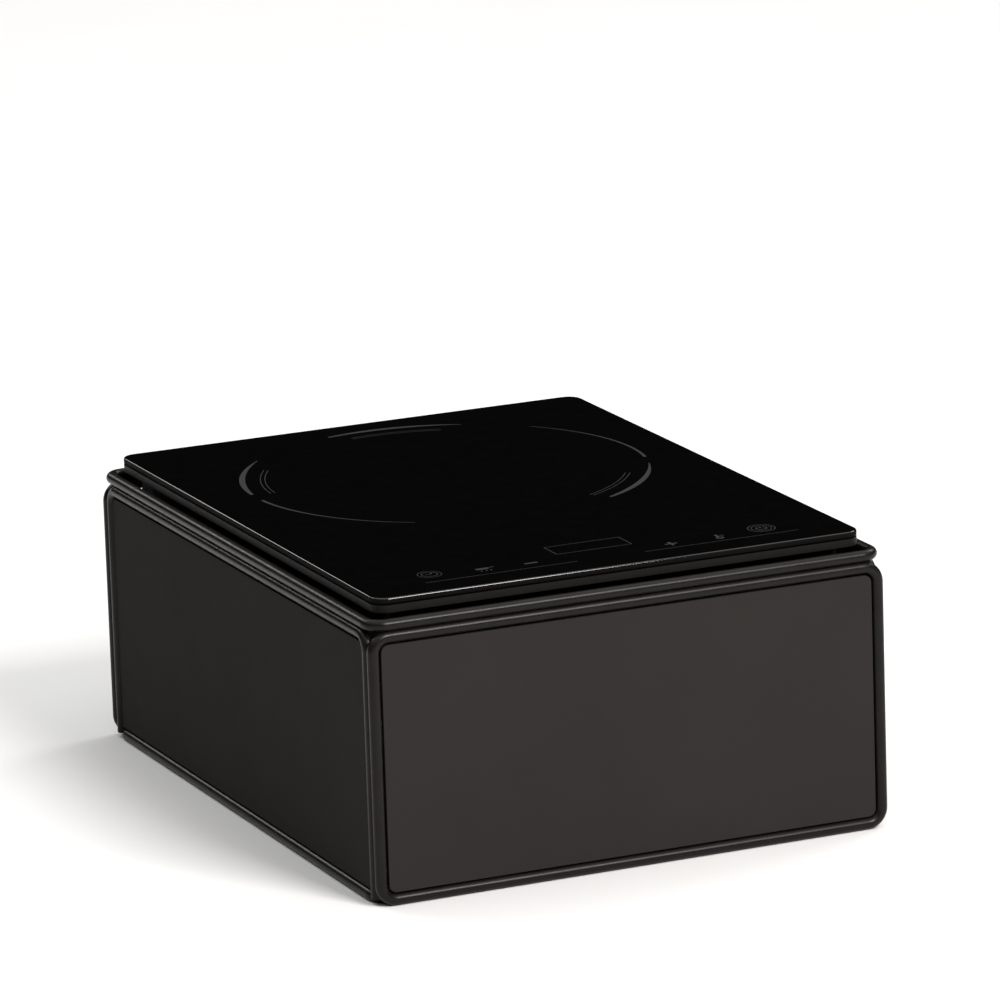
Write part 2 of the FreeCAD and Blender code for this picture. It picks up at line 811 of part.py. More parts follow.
# ------------------------------------------------------------------ induction unit: main board
def main_board():
    """The power board."""
    board = plate(board_x, board_y, board_z, board_w, board_d, board_t, 2.0)
    for x, y in board_posts():
        board = board.cut(rod(x, y, board_z, case_screw_d / 2 + case_screw_clear, board_t))
    return board


def board_screws():
    """The main board's four screws."""
    length = board_t + post_bite
    return group([pan_screw_down(x, y, board_top, length, case_screw_d / 2) for x, y in board_posts()])


def heatsink():
    """The finned aluminium block over the power devices."""
    pieces = [block(sink_x, sink_y, sink_z, sink_w, sink_d, sink_base)]
    pitch = (sink_w - sink_fin_t) / (sink_fins - 1)
    for i in range(sink_fins):
        x = sink_x - sink_w / 2 + sink_fin_t / 2 + i * pitch
        pieces.append(block(x, sink_y, sink_z + sink_base, sink_fin_t, sink_d, sink_fin_h))
    for sy in (-1, 1):
        y = sink_y + sy * (sink_d - sink_foot_w) / 2
        pieces.append(block(sink_x, y, board_top, sink_w, sink_foot_w, power_device_h))
    return joined(pieces)


def power_device(x):
    """A flat power device lying under the heatsink, with its three legs."""
    body = block(x, sink_y, board_top, power_device_w, power_device_d, power_device_h)
    leg_y_in = sink_y - power_device_d / 2 - 2 * leg_w
    legs = [block(x + i * leg_pitch, leg_y_in, board_top, leg_w, 5 * leg_w, leg_w) for i in (-1, 0, 1)]
    return joined([body] + legs)


def film_capacitors():
    """The resonant and filter capacitors: boxes with rounded edges."""
    boxes = []
    for y in film_cap_ys:
        boxes.append(plate(film_cap_x, y, board_top, film_cap_w, film_cap_d, film_cap_h, 1.5))
    boxes.append(plate(small_cap_x, small_cap_y, board_top, small_cap_w, small_cap_d, small_cap_h, 1.5))
    return group(boxes)


def filter_choke():
    """The mains choke: a wound ring core lying on the board."""
    return Part.makeTorus(choke_r, choke_wire_r, V(choke_x, choke_y, board_top + choke_wire_r), Z_AXIS)


def transformer():
    """The small supply transformer."""
    body = plate(transformer_x, transformer_y, board_top, transformer_w, transformer_d, transformer_h, 1.0)
    core_z = board_top + 0.13 * transformer_h
    core = block(
        transformer_x, transformer_y, core_z, 1.2 * transformer_w, 0.4 * transformer_d, 0.74 * transformer_h
    )
    return joined([body, core])


def electrolytic_capacitors():
    """Three upright cans in a row, the last one larger."""
    cans = []
    for i, growth in enumerate((1.0, 1.0, 1.25)):
        cans.append(rod(can_first_x - i * can_pitch, can_y, board_top, can_r * growth, can_h * growth))
    return group(cans)


def mains_fuse():
    """A cartridge fuse in two clips."""
    start = V(fuse_x, fuse_y - fuse_l / 2, board_top + fuse_axis_up)
    tube = Part.makeCylinder(fuse_r, fuse_l, start, Y_AXIS)
    reach = fuse_l / 2 - 0.75 * clip_l
    clips = [block(fuse_x, fuse_y + side * reach, board_top, clip_w, clip_l, clip_h) for side in (-1, 1)]
    return joined([tube] + clips)


fan_lead_x = -54.0
fan_socket_y = -34.0
fan_socket_w = 7.0
fan_socket_h = 8.0
fan_lead_r = 1.2
mains_lead_xs = (105.0, 111.0, 117.0)
mains_lead_z_up = 6.0
mains_socket_y = -19.0
terminal_w = 24.0
mains_socket_w = 20.0
mains_socket_d = 10.0
terminal_block_d = 20.0
terminal_block_h = 14.0
terminal_well_r = 2.0
terminal_well_depth = 4.0


def board_terminals():
    """Terminals and sockets on the main board."""
    parts = []
    for x in coil_lead_xs:
        parts.append(block(x, coil_lead_y, board_top, coil_terminal_w, coil_terminal_w, terminal_h))
    mains_y = mains_socket_y - mains_socket_d / 2
    parts.append(block(mains_lead_xs[1], mains_y, board_top, mains_socket_w, mains_socket_d, mains_socket_d))
    parts.append(block(fan_lead_x, fan_socket_y, board_top, fan_socket_w, fan_socket_w, fan_socket_h))
    parts.append(block(0.0, thermistor_socket_y, board_top, 7.0, 6.0, terminal_h))
    return group(parts)


def terminal_block():
    """The block behind the cord entry where the mains leads start."""
    base = plate(mains_lead_xs[1], terminal_y, floor_z, terminal_w, terminal_block_d, terminal_block_h, 1.5)
    well_z = floor_z + terminal_block_h - terminal_well_depth
    for x in mains_lead_xs:
        base = base.cut(rod(x, terminal_y, well_z, terminal_well_r, terminal_well_depth))
    return base


def mains_leads():
    """Three leads from the terminal block to the main board."""
    z = board_top + mains_lead_z_up
    start_y = terminal_y - terminal_block_d / 2
    run = start_y - mains_socket_y
    leads = []
    for x in mains_lead_xs:
        leads.append(Part.makeCylinder(0.9 * lead_r, run, V(x, mains_socket_y, z), Y_AXIS))
    return group(leads)


def fan_lead():
    """The fan's lead to its socket on the main board."""
    end_y = fan_socket_y + fan_socket_w / 2
    run = fan_y - fan_size / 2 - end_y
    return Part.makeCylinder(fan_lead_r, run, V(fan_lead_x, end_y, board_top + fan_socket_h / 2), Y_AXIS)


# ------------------------------------------------------------------ induction unit: cord entry
def cord_gland():
    """The cord entry: a flanged, threaded bush through the rear wall, its bore open."""
    flange = Part.makeCylinder(gland_flange_r, gland_flange_t, V(gland_x, rear_wall_y, gland_z), Y_AXIS)
    dome = Part.makeCone(
        gland_flange_r - 1.0, gland_bore_r + 1.8, gland_dome_l,
        V(gland_x, rear_wall_y + gland_flange_t, gland_z), Y_AXIS,
    )
    thread = Part.makeCylinder(
        gland_thread_r, gland_thread_l, V(gland_x, rear_wall_y - gland_thread_l, gland_z), Y_AXIS
    )
    bush = joined([flange, dome, thread])
    length = gland_thread_l + gland_flange_t + gland_dome_l
    start = V(gland_x, rear_wall_y - gland_thread_l, gland_z)
    return bush.cut(Part.makeCylinder(gland_bore_r, length, start, Y_AXIS))


def gland_nut():
    """The six-sided nut inside the rear wall."""
    y = rear_wall_y - case_wall - gland_nut_t
    corners = []
    for i in range(6):
        angle = math.radians(60 * i)
        corners.append(V(gland_x + gland_nut_r * math.cos(angle), y, gland_z + gland_nut_r * math.sin(angle)))
    outline = Part.makePolygon(corners + [corners[0]])
    nut = Part.Face(outline).extrude(Y_AXIS * gland_nut_t)
    return nut.cut(Part.makeCylinder(gland_thread_r, gland_nut_t, V(gland_x, y, gland_z), Y_AXIS))


# ------------------------------------------------------------------ induction unit: controls
def control_bracket():
    """The tray on four posts that holds the control board up to the glass."""
    tray = plate(0, control_y, bracket_z, control_w, control_d, bracket_t, 2.0)
    window_w = control_w - 2 * bracket_rim_x
    window_d = control_d - 2 * bracket_rim_y
    tray = tray.cut(block(0, control_y, bracket_z, window_w, window_d, bracket_t))
    pieces = [tray]
    for x, y in bracket_posts():
        pieces.append(rod(x, y, floor_z, bracket_post_r, bracket_z - floor_z))
    bracket = joined(pieces)
    for x, y in bracket_posts():
        bracket = bracket.cut(rod(x, y, control_z - tall_post_bite, case_screw_d / 2, tall_post_bite))
    return bracket


def bracket_posts():
    """Centres of the four posts of the control bracket."""
    return [(sx * bracket_post_x, control_y + sy * bracket_post_y) for sx in (-1, 1) for sy in (-1, 1)]


def control_board():
    """The board with the touch keys and the display."""
    board = plate(0, control_y, control_z, control_w, control_d, board_t, 2.0)
    for x, y in bracket_posts():
        board = board.cut(rod(x, y, control_z, case_screw_d / 2 + case_screw_clear, board_t))
    return board


def control_screws():
    """The control board's four screws."""
    length = board_t + tall_post_bite
    return group([pan_screw_down(x, y, control_top, length, case_screw_d / 2) for x, y in bracket_posts()])


def touch_springs():
    """The springs that carry each key's touch from the glass to the control board."""
    springs = []
    for x in key_xs:
        springs.append(
            ring_spring(
                x, key_y, control_top, touch_spring_r, touch_spring_wire / 2, control_drop, touch_spring_turns
            )
        )
    return group(springs)


def display_module():
    """The digit display on the control board."""
    body = block(0, display_y, control_top, display_w, display_d, display_h)
    window_z = control_top + display_h - digit_depth
    for i in range(digit_count):
        x = (i - (digit_count - 1) / 2) * digit_pitch
        body = body.cut(block(x, display_y, window_z, digit_w, digit_l, digit_depth))
    return body


ribbon_x = -34.0
ribbon_w = 16.0
ribbon_t = 0.8
ribbon_bend = 3.0
ribbon_socket_w = 19.0
ribbon_socket_d = 6.0
ribbon_socket_h = 4.4
ribbon_y = board_y - board_d / 2 + 10.0


def ribbon_cable():
    """The flat cable from the control board down to the main board."""
    start_y = control_y + control_d / 2 - 2.0
    level = control_top + ribbon_bend
    foot = board_top + terminal_h
    knee = level - ribbon_bend
    corner_y = ribbon_y - ribbon_bend
    left = ribbon_x - ribbon_w / 2
    run = Part.makeBox(ribbon_w, corner_y - start_y, ribbon_t, V(left, start_y, level))
    drop = Part.makeBox(ribbon_w, ribbon_t, knee - foot, V(left, ribbon_y, foot))
    centre = V(left, corner_y, knee)
    bend = Part.makeCylinder(ribbon_bend + ribbon_t, ribbon_w, centre, X_AXIS)
    bend = bend.cut(Part.makeCylinder(ribbon_bend, ribbon_w, centre, X_AXIS))
    quarter = Part.makeBox(ribbon_w, ribbon_bend + ribbon_t, ribbon_bend + ribbon_t, centre)
    return joined([run, bend.common(quarter), drop])


def ribbon_sockets():
    """The sockets at both ends of the flat cable."""
    upper_y = control_y + control_d / 2 - 5.0
    upper = block(ribbon_x, upper_y, control_top, ribbon_socket_w, ribbon_socket_d, ribbon_socket_h)
    lower_y = ribbon_y + ribbon_t / 2
    lower = block(ribbon_x, lower_y, board_top, ribbon_socket_w, ribbon_socket_d, terminal_h)
    return group([upper, lower])


# ------------------------------------------------------------------ induction unit: fan
def fan_frame():
    """The square frame of the fan, with its motor seat on three struts."""
    frame = plate(fan_x, fan_y, fan_z, fan_size, fan_size, fan_h, 5.0)
    frame = frame.cut(rod(fan_x, fan_y, fan_z, fan_bore_r, fan_h))
    pieces = [frame, rod(fan_x, fan_y, fan_z, fan_hub_r + 1.0, fan_mount_h)]
    for i in range(3):
        strut = block(fan_bore_r / 2, 0, fan_z, fan_bore_r + 2.0, fan_strut_w, fan_mount_h)
        strut.rotate(V(0, 0, 0), Z_AXIS, 120.0 * i + 45.0)
        strut.translate(V(fan_x, fan_y, 0))
        pieces.append(strut)
    body = joined(pieces)
    for x, y in fan_holes():
        body = body.cut(rod(x, y, fan_z, fan_hole_r, fan_h))
    return body.cut(rod(fan_x, fan_y, fan_z, fan_shaft_r + fan_shaft_gap, fan_mount_h))


def fan_rotor():
    """The hub, blades and shaft that turn."""
    base_z = fan_z + fan_mount_h + fan_end_gap
    height = fan_h - fan_mount_h - 2.0
    tip_r = fan_bore_r - fan_tip_gap
    hub = rod(fan_x, fan_y, base_z, fan_hub_r, height)
    pieces = [hub]
    for i in range(fan_blades):
        span = tip_r - fan_hub_r + fan_hub_bite
        blade = block(0, 0, -height, span, fan_blade_t, 2 * height)
        blade.rotate(V(0, 0, 0), X_AXIS, fan_blade_pitch)
        blade.translate(V(fan_hub_r - fan_hub_bite + span / 2, 0, height / 2))
        blade.rotate(V(0, 0, 0), Z_AXIS, 360.0 / fan_blades * i)
        blade.translate(V(fan_x, fan_y, base_z))
        pieces.append(blade.common(rod(fan_x, fan_y, base_z, tip_r, height)))
    shaft_h = base_z - fan_z
    pieces.append(rod(fan_x, fan_y, fan_z, fan_shaft_r, shaft_h))
    return joined(pieces)


def fan_screws():
    """The fan's four long screws."""
    length = fan_h + post_bite
    return group([pan_screw_down(x, y, fan_top, length, fan_screw_r) for x, y in fan_holes()])


def air_duct():
    """The hood over the fan that turns its air towards the heatsink."""
    outer = block(fan_x, fan_y, fan_top, fan_size, fan_size, duct_h)
    inner_w = fan_size - 2 * duct_wall
    inner = block(fan_x, fan_y - duct_wall, fan_top, inner_w, fan_size, duct_h - duct_wall)
    return outer.cut(inner)


# ------------------------------------------------------------------ build
front_loop = upright_loop(-loop_y)
rear_loop = upright_loop(loop_y)
top_ring = flat_ring(loop_y, ring_z)
bottom_ring = flat_ring(leg_y, low_z)
left_hoop = side_hoop(-1)
right_hoop = side_hoop(1)
rails = {-1: support_rail(-foot_y), 1: support_rail(foot_y)}
tabs_shape = panel_tabs()
coil_shape = coil_winding()

nodes = {
    "top_ring": top_ring,
    "bottom_ring": bottom_ring,
    "front_loop": front_loop,
    "rear_loop": rear_loop,
    "left_hoop": left_hoop,
    "right_hoop": right_hoop,
    "front_panel": end_panel(-1),
    "rear_panel": vented(end_panel(1)),
    "left_panel": side_panel(-1),
    "right_panel": side_panel(1),
    "front_rail": rails[-1],
    "rear_rail": rails[1],
    "panel_tabs": tabs_shape,
    "panel_screws": panel_screws(),
    "frame_welds": frame_welds(),
    "glass_top": glass_top(),
    "glass_seal": glass_seal(),
    "top_frame": top_frame(),
    "lower_case": lower_case(),
    "case_screws": case_screws(),
    "rubber_feet": rubber_feet(),
    "coil_winding": coil_shape,
    "coil_carrier": coil_carrier(),
    "ferrite_bars": ferrite_bars(),
    "insulation_disc": insulation_disc(),
    "coil_springs": coil_springs(),
    "coil_screws": coil_screws(),
    "thermistor": thermistor(),
    "thermistor_spring": thermistor_spring(),
    "coil_leads": coil_leads(),
    "thermistor_lead": thermistor_lead(),
    "main_board": main_board(),
    "board_screws": board_screws(),
    "heatsink": heatsink(),
    "power_transistor": power_device(sink_x - power_device_offset),
    "bridge_rectifier": power_device(sink_x + power_device_offset),
    "film_capacitors": film_capacitors(),
    "filter_choke": filter_choke(),
    "transformer": transformer(),
    "electrolytic_capacitors": electrolytic_capacitors(),
    "mains_fuse": mains_fuse(),
    "board_terminals": board_terminals(),
    "terminal_block": terminal_block(),
    "mains_leads": mains_leads(),
    "fan_lead": fan_lead(),
    "cord_gland": cord_gland(),
    "gland_nut": gland_nut(),
    "control_bracket": control_bracket(),
    "control_board": control_board(),
    "control_screws": control_screws(),
    "touch_springs": touch_springs(),
    "display_module": display_module(),
    "ribbon_cable": ribbon_cable(),
    "ribbon_sockets": ribbon_sockets(),
    "fan_frame": fan_frame(),
    "fan_rotor": fan_rotor(),
    "fan_screws": fan_screws(),
    "air_duct": air_duct(),
}

os.makedirs("parts", exist_ok=True)
for name, shape in nodes.items():
    shape.exportStep(os.path.join("parts", name + ".step"))
    box = shape.BoundBox
    low = [round(v, 1) for v in (box.XMin, box.YMin, box.ZMin)]
    high = [round(v, 1) for v in (box.XMax, box.YMax, box.ZMax)]
    print(name, len(shape.Solids), shape.isValid(), round(shape.Volume, 1), low, high)
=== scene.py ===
import json
import math

import bmesh
import bpy
from mathutils import Matrix, Vector


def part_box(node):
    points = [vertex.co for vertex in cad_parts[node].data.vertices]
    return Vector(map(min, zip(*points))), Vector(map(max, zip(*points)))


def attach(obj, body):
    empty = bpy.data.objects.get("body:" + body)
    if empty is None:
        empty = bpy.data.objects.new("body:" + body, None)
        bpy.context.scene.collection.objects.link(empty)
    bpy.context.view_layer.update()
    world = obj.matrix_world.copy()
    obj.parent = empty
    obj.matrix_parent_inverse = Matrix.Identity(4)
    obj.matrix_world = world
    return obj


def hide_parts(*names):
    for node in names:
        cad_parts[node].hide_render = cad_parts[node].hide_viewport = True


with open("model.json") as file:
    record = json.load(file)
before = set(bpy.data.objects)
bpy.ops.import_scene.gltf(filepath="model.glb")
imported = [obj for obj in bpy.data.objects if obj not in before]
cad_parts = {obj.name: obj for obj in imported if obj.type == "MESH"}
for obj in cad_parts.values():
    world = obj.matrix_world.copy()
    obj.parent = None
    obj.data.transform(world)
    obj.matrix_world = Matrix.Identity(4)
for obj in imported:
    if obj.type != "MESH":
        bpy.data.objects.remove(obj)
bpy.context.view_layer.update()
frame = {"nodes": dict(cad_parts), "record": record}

MM = 0.001
RECORD = frame["record"]
NODES = frame["nodes"]

# ------------------------------------------------------------------ places, read from the frame
GLASS_LOW, GLASS_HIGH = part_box("glass_top")
GLASS_TOP = GLASS_HIGH.z
GLASS_HALF_X = (GLASS_HIGH.x - GLASS_LOW.x) / 2
GLASS_HALF_Y = (GLASS_HIGH.y - GLASS_LOW.y) / 2
COIL_LOW, COIL_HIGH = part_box("coil_winding")
ZONE_SHIFT = 2.0 * MM                      # printed zone, to the right of the coil
ZONE = Vector((ZONE_SHIFT, (COIL_LOW.y + COIL_HIGH.y) / 2, 0))
INK_RISE = 0.03 * MM                       # printed marks above the glass


# ------------------------------------------------------------------ camera
CAMERA_AZIMUTH = -23.559                   # degrees from the front, towards the left
CAMERA_ELEVATION = 14.015
CAMERA_ROLL = -1.865
CAMERA_DISTANCE = 4.11822
CAMERA_SHIFT = (0.007951, 0.086008)        # across and upright, from the point aimed at
CAMERA_AIM = Vector((0, 0, 0.07394))
CAMERA_LENS = 263.65


def make_camera():
    """Long-lens camera, in front and to the left, a little above the glass."""
    azimuth = math.radians(CAMERA_AZIMUTH)
    elevation = math.radians(CAMERA_ELEVATION)
    roll = math.radians(CAMERA_ROLL)
    back = Vector((
        math.sin(azimuth) * math.cos(elevation),
        -math.cos(azimuth) * math.cos(elevation),
        math.sin(elevation),
    ))
    right = Vector((math.cos(azimuth), math.sin(azimuth), 0))
    up = back.cross(right)
    across = right * math.cos(roll) + up * math.sin(roll)
    upright = up * math.cos(roll) - right * math.sin(roll)
    place = CAMERA_AIM + across * CAMERA_SHIFT[0] + upright * CAMERA_SHIFT[1] + back * CAMERA_DISTANCE
    data = bpy.data.cameras.new("camera")
    data.sensor_width = 36.0
    data.lens = CAMERA_LENS
    data.clip_start = 0.1
    data.clip_end = 60.0
    camera = bpy.data.objects.new("camera", data)
    bpy.context.scene.collection.objects.link(camera)
    turn = Matrix((across, upright, back)).transposed().to_4x4()
    camera.matrix_world = Matrix.Translation(place) @ turn
    bpy.context.scene.camera = camera


# ------------------------------------------------------------------ material helpers
NOISE_ROUGHNESS = 0.6
COLOUR_SPAN = (0.35, 0.65)                 # noise values over which two colours change over
GRAIN_DETAIL = 3.0
SMOOTHEST = 0.02                           # least roughness that a surface varies down to


class Surface:
    """A node material built up step by step on a Principled shader."""

    def __init__(self, name, colour, roughness, metallic=0.0, gloss=0.5):
        self.material = bpy.data.materials.new(name)
        self.material.use_nodes = True
        self.tree = self.material.node_tree
        self.shader = self.tree.nodes["Principled BSDF"]
        self.colour = colour
        self.roughness = roughness
        self.shader.inputs["Base Color"].default_value = (*colour, 1.0)
        self.shader.inputs["Roughness"].default_value = roughness
        self.shader.inputs["Metallic"].default_value = metallic
        self.shader.inputs["Specular IOR Level"].default_value = gloss
        self.coordinates = self.tree.nodes.new("ShaderNodeTexCoord")
        self.bump_from = None

    def node(self, kind, **values):
        """A new node with its settings."""
        made = self.tree.nodes.new(kind)
        for key, value in values.items():
            setattr(made, key, value)
        return made

    def link(self, source, target):
        self.tree.links.new(source, target)

    def noise(self, scale, detail=4.0, stretch=(1, 1, 1)):
        """Noise in the piece's own coordinates."""
        mapping = self.node("ShaderNodeMapping")
        mapping.inputs["Scale"].default_value = stretch
        self.link(self.coordinates.outputs["Object"], mapping.inputs["Vector"])
        noise = self.node("ShaderNodeTexNoise")
        noise.inputs["Scale"].default_value = scale
        noise.inputs["Detail"].default_value = detail
        noise.inputs["Roughness"].default_value = NOISE_ROUGHNESS
        self.link(mapping.outputs["Vector"], noise.inputs["Vector"])
        return noise.outputs["Fac"]

    def spread(self, value, low, high, start=0.3, end=0.7):
        """The middle of a noise value, start to end, drawn out to low and high."""
        span = self.node("ShaderNodeMapRange")
        span.inputs["From Min"].default_value = start
        span.inputs["From Max"].default_value = end
        span.inputs["To Min"].default_value = low
        span.inputs["To Max"].default_value = high
        self.link(value, span.inputs["Value"])
        return span.outputs["Result"]

    def vary_roughness(self, scale, amount, detail=5.0, stretch=(1, 1, 1)):
        value = self.noise(scale, detail, stretch)
        low = max(self.roughness - amount, SMOOTHEST)
        self.link(self.spread(value, low, self.roughness + amount), self.shader.inputs["Roughness"])
        return self

    def vary_colour(self, scale, other, detail=4.0, stretch=(1, 1, 1)):
        value = self.noise(scale, detail, stretch)
        mix = self.node("ShaderNodeMix", data_type="RGBA")
        mix.inputs["A"].default_value = (*self.colour, 1.0)
        mix.inputs["B"].default_value = (*other, 1.0)
        self.link(self.spread(value, 0.0, 1.0, *COLOUR_SPAN), mix.inputs["Factor"])
        self.link(mix.outputs["Result"], self.shader.inputs["Base Color"])
        return self

    def bump(self, value, height, strength):
        """One more layer of relief, on top of those made before it."""
        bump = self.node("ShaderNodeBump")
        bump.inputs["Distance"].default_value = height
        bump.inputs["Strength"].default_value = strength
        self.link(value, bump.inputs["Height"])
        if self.bump_from is not None:
            self.link(self.bump_from, bump.inputs["Normal"])
        self.bump_from = bump.outputs["Normal"]
        self.link(self.bump_from, self.shader.inputs["Normal"])
        return self

    def grain(self, scale, height, strength, stretch=(1, 1, 1)):
        return self.bump(self.noise(scale, GRAIN_DETAIL, stretch), height, strength)


def powder_coat(name, colour, roughness, lighter):
    """Thin satin powder coat: faint orange peel and small changes in sheen."""
    surface = Surface(name, colour, roughness, gloss=0.15)
    surface.vary_colour(55.0, lighter).vary_roughness(320.0, 0.05)
    surface.grain(1500.0, 0.006 * MM, 0.4).grain(300.0, 0.02 * MM, 0.25)
    return surface.material


def panel_coat(name):
    """Matt fine-texture coat on the flat panels, with the softest of cloudiness."""
    surface = Surface(name, (0.0215, 0.0192, 0.0188), 0.85, gloss=0.04)
    surface.vary_colour(7.0, (0.0235, 0.0212, 0.0203), 5.0).vary_roughness(35.0, 0.035)
    surface.grain(2600.0, 0.012 * MM, 0.55).grain(900.0, 0.01 * MM, 0.4)
    return surface.material


def black_glass(name):
    """Polished black glass-ceramic, very faintly smeared."""
    surface = Surface(name, (0.0009, 0.0008, 0.0009), 0.06)
    surface.vary_roughness(16.0, 0.008, 3.0).vary_colour(90.0, (0.0013, 0.0012, 0.0013))
    return surface.material


def ground_edge(name):
    """The ground side of the glass: the same black, but matt."""
    surface = Surface(name, (0.0045, 0.0040, 0.0036), 0.6, gloss=0.03)
    surface.vary_roughness(500.0, 0.06).grain(1800.0, 0.006 * MM, 0.5)
    return surface.material


def moulded(name, colour, roughness=0.45, lighter=None, gloss=0.4):
    """Moulded plastic: fine spark-eroded grain and a little variation."""
    other = lighter or tuple(channel * 1.25 for channel in colour)
    surface = Surface(name, colour, roughness, gloss=gloss)
    surface.vary_colour(40.0, other).vary_roughness(180.0, 0.06)
    surface.grain(1900.0, 0.015 * MM, 0.6)
    return surface.material


def metal(name, colour, roughness, stretch=(1, 1, 1)):
    """Bare or plated metal with drawn or ground marks along one direction."""
    other = tuple(min(channel * 1.12, 1.0) for channel in colour)
    surface = Surface(name, colour, roughness, metallic=1.0)
    surface.vary_colour(120.0, other, stretch=stretch).vary_roughness(400.0, 0.08, stretch=stretch)
    surface.grain(900.0, 0.01 * MM, 0.5, stretch=stretch)
    return surface.material


def rubber(name, colour):
    """Matt rubber, dusty in places."""
    surface = Surface(name, colour, 0.78)
    surface.vary_colour(70.0, tuple(channel * 1.5 for channel in colour)).vary_roughness(150.0, 0.08)
    surface.grain(1400.0, 0.03 * MM, 0.6)
    return surface.material


def ink(name):
    """Screen-printed grey enamel with a fine dot grain."""
    surface = Surface(name, (0.046, 0.045, 0.045), 0.16, gloss=0.45)
    surface.vary_colour(2600.0, (0.036, 0.035, 0.035)).vary_roughness(800.0, 0.04)
    surface.grain(2200.0, 0.001 * MM, 0.2)
    return surface.material


def litz_copper(name):
    """Enamelled copper strands wound in a flat spiral."""
    surface = Surface(name, (0.62, 0.24, 0.10), 0.33, metallic=0.9)
    surface.vary_colour(240.0, (0.75, 0.34, 0.16)).vary_roughness(500.0, 0.08)
    surface.grain(1300.0, 0.08 * MM, 0.8, stretch=(1, 1, 3))
    return surface.material


def circuit_board(name):
    """Green solder mask over copper tracks: square cells with fine relief."""
    mask = (0.012, 0.085, 0.035)
    surface = Surface(name, mask, 0.34)
    cells = surface.node("ShaderNodeTexVoronoi", distance="MANHATTAN", feature="F1")
    cells.inputs["Scale"].default_value = 130.0
    surface.link(surface.coordinates.outputs["Object"], cells.inputs["Vector"])
    mix = surface.node("ShaderNodeMix", data_type="RGBA")
    mix.inputs["A"].default_value = (*mask, 1.0)
    mix.inputs["B"].default_value = (0.03, 0.16, 0.06, 1.0)
    surface.link(surface.spread(cells.outputs["Distance"], 0.0, 1.0, 0.45, 0.5), mix.inputs["Factor"])
    surface.link(mix.outputs["Result"], surface.shader.inputs["Base Color"])
    surface.vary_roughness(200.0, 0.07).bump(cells.outputs["Distance"], 0.03 * MM, 0.5)
    return surface.material


def slot_materials():
    """One material for each material slot of the record."""
    return {
        "frame_wire": powder_coat("wire_coat", (0.0056, 0.0046, 0.0040), 0.31, (0.0074, 0.0062, 0.0055)),
        "panel_black": panel_coat("panel_coat"),
        "rail_black": powder_coat("rail_coat", (0.014, 0.0135, 0.0132), 0.42, (0.019, 0.018, 0.0175)),
        "screw_steel": metal("screw_steel", (0.50, 0.50, 0.52), 0.32),
        "black_glass": black_glass("black_glass"),
        "seal_black": rubber("seal_silicone", (0.012, 0.012, 0.012)),
        "frame_plastic": moulded("frame_plastic", (0.0052, 0.0045, 0.0041), 0.46, gloss=0.12),
        "case_plastic": moulded("case_plastic", (0.010, 0.010, 0.0105), 0.5),
        "foot_rubber": rubber("foot_rubber", (0.016, 0.016, 0.016)),
        "copper": litz_copper("litz_copper"),
        "carrier_plastic": moulded("carrier_plastic", (0.50, 0.47, 0.42), 0.5),
        "ferrite": moulded("ferrite", (0.035, 0.036, 0.04), 0.6),
        "mica": moulded("mica", (0.55, 0.46, 0.33), 0.55, (0.68, 0.60, 0.47)),
        "spring_steel": metal("spring_steel", (0.62, 0.62, 0.63), 0.25),
        "silicone": rubber("silicone", (0.60, 0.60, 0.57)),
        "sleeve_white": rubber("sleeve", (0.55, 0.55, 0.52)),
        "lead_grey": rubber("lead_jacket", (0.09, 0.09, 0.095)),
        "board_green": circuit_board("circuit_board"),
        "heatsink_aluminium": metal("heatsink", (0.70, 0.70, 0.71), 0.38, stretch=(6, 0.3, 6)),
        "device_black": moulded("device_epoxy", (0.014, 0.014, 0.015), 0.42),
        "capacitor_plastic": moulded("capacitor_box", (0.58, 0.40, 0.06), 0.3),
        "can_aluminium": moulded("capacitor_sleeve", (0.03, 0.045, 0.12), 0.3),
        "choke_green": moulded("choke_core", (0.04, 0.16, 0.07), 0.35),
        "transformer_yellow": moulded("transformer_tape", (0.60, 0.46, 0.10), 0.4),
        "fuse_glass": moulded("fuse_glass", (0.55, 0.58, 0.57), 0.15),
        "connector_white": moulded("connector_nylon", (0.66, 0.65, 0.60), 0.4),
        "gland_black": moulded("gland_nylon", (0.011, 0.011, 0.011), 0.42),
        "display_dark": moulded("display_filter", (0.012, 0.003, 0.003), 0.2),
        "fan_black": moulded("fan_plastic", (0.012, 0.012, 0.013), 0.42),
    }


def dress_nodes(materials):
    """Every CAD node carries the material of its slot."""
    for part in RECORD["subparts"]:
        node = NODES[part["node"]]
        node.data.materials.clear()
        node.data.materials.append(materials[part["material_slot"]])


# ------------------------------------------------------------------ mesh helpers
def add_piece(name, mesh_data, material, body):
    """A new piece that rides on a body, with its material."""
    piece = bpy.data.objects.new(name, mesh_data)
    bpy.context.scene.collection.objects.link(piece)
    piece.data.materials.append(material)
    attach(piece, body)
    return piece


def rounded_outline(half_x, half_y, radius, steps=14):
    """Points of a rounded rectangle, anticlockwise seen from above."""
    points = []
    for quarter, (sx, sy) in enumerate(((1, 1), (-1, 1), (-1, -1), (1, -1))):
        centre = Vector((sx * (half_x - radius), sy * (half_y - radius)))
        for step in range(steps + 1):
            angle = math.pi / 2 * (quarter + step / steps)
            points.append(centre + radius * Vector((math.cos(angle), math.sin(angle))))
    return points


GLASS_CORNER = 9.0 * MM
GLASS_BEVEL = 0.9 * MM
GLASS_LOW_BEVEL = 0.5 * MM
GLASS_BEVEL_STEPS = 6
EDGE_NORMAL_Z = 0.2                        # steeper faces than this are ground, not polished


